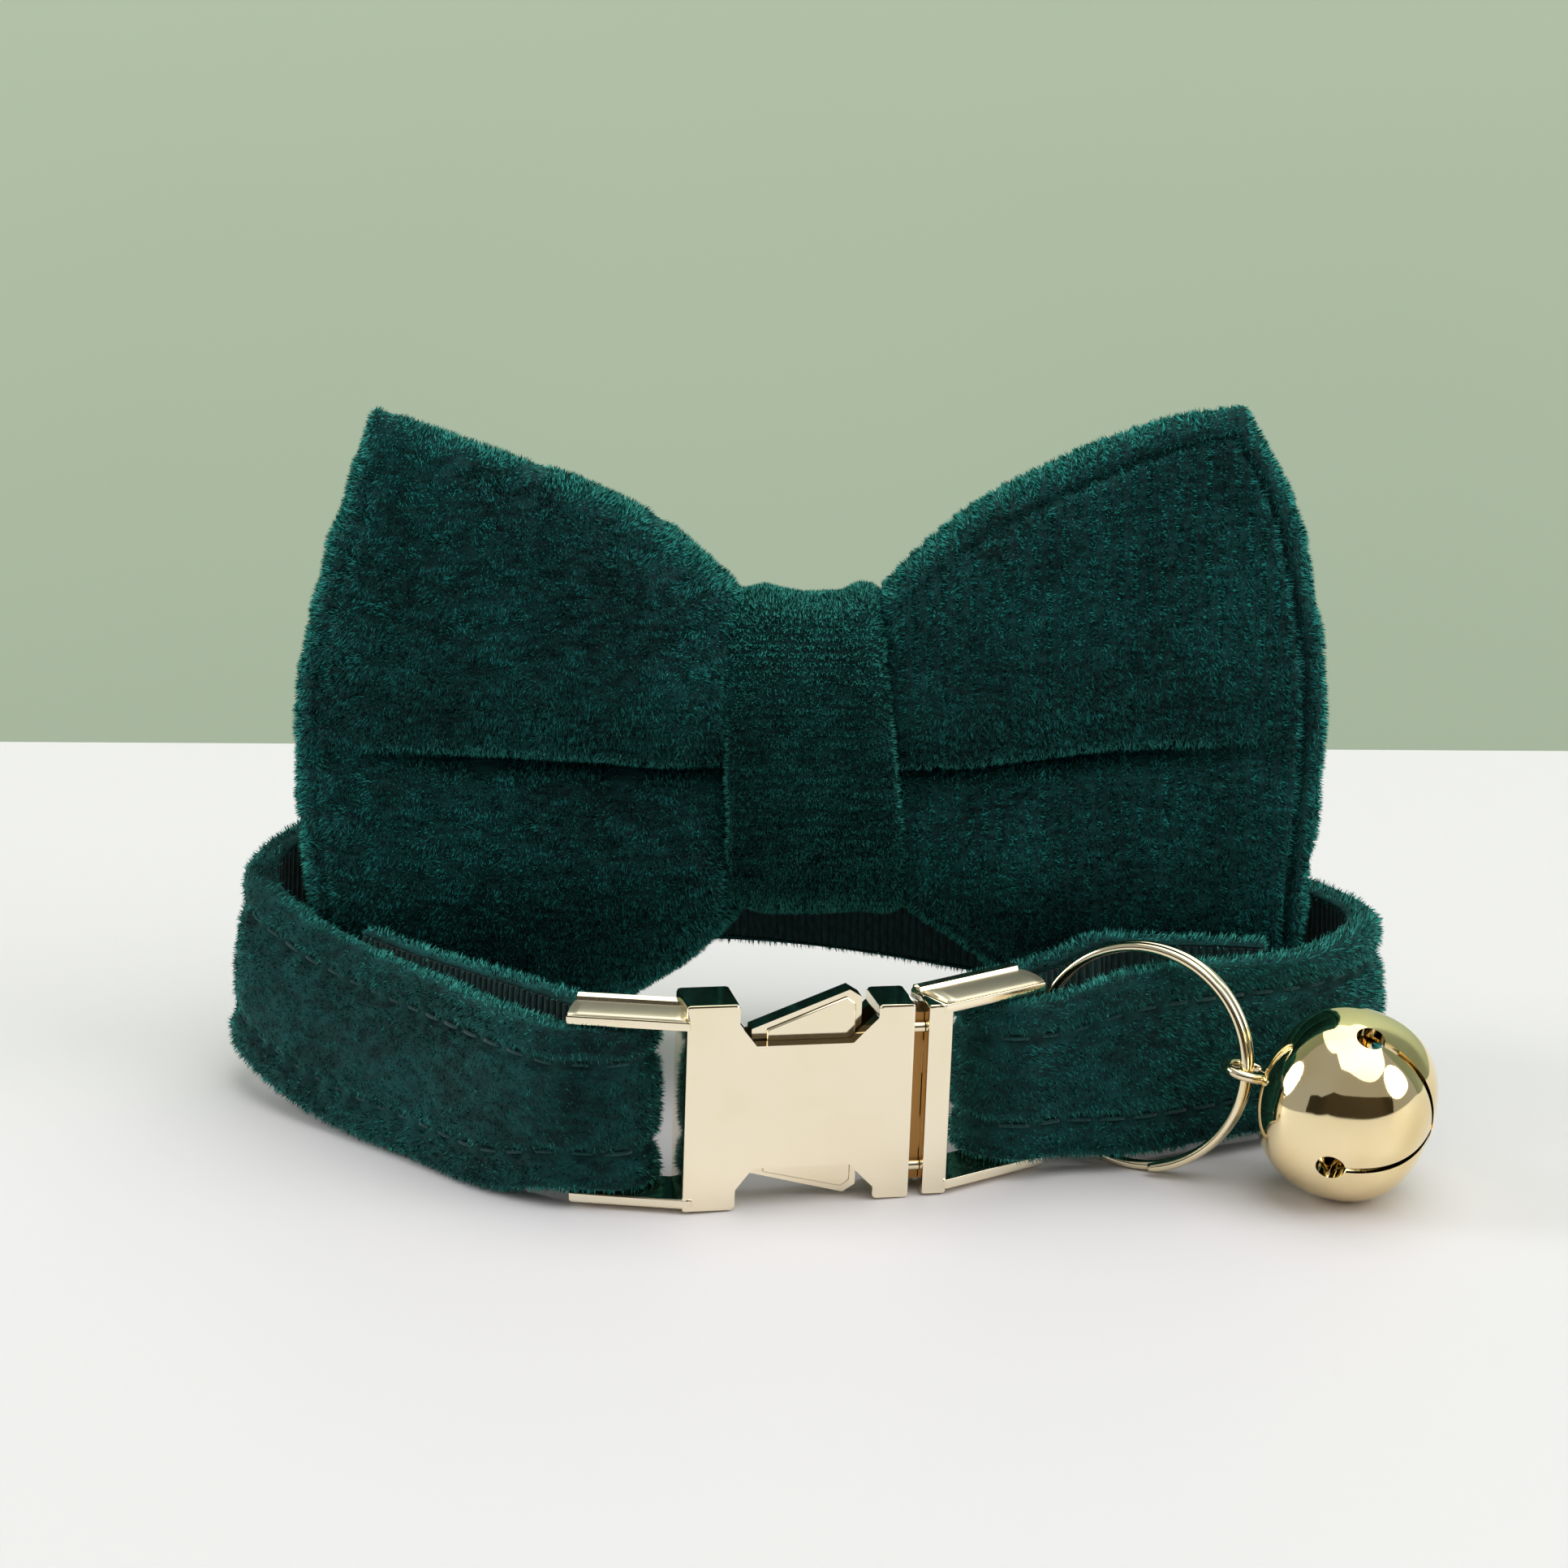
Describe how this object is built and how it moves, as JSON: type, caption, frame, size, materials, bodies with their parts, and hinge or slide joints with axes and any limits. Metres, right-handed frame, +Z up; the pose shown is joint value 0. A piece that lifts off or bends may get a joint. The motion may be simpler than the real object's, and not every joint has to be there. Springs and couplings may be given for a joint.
{
  "type": "pet bow tie collar",
  "caption": "Velvet collar strap closed in a loop by a metal side release buckle, with a slotted jingle bell on a split ring and a padded bow tie standing at the back.",
  "frame": {"origin": "middle of the underside of the collar's bounding box, on the table", "axes": "+X to the right along the buckle's front, +Y from the buckle to the bow, +Z up"},
  "size_m": [0.1094, 0.0552, 0.065],
  "materials": {
    "velvet": "dark teal green velvet with a short dense pile",
    "webbing": "dark green ribbed webbing",
    "elastic": "dark green woven elastic",
    "gold": "polished pale gold plating"
  },
  "bodies": {
    "root": {"strap_velvet": "velvet", "strap_webbing": "webbing", "buckle_female": "gold", "buckle_male": "gold", "split_ring": "gold", "bell": "gold", "bell_pellet": "gold", "bow_wings": "velvet", "knot_band": "velvet", "elastic_left": "elastic", "elastic_right": "elastic"}
  },
  "joints": []
}
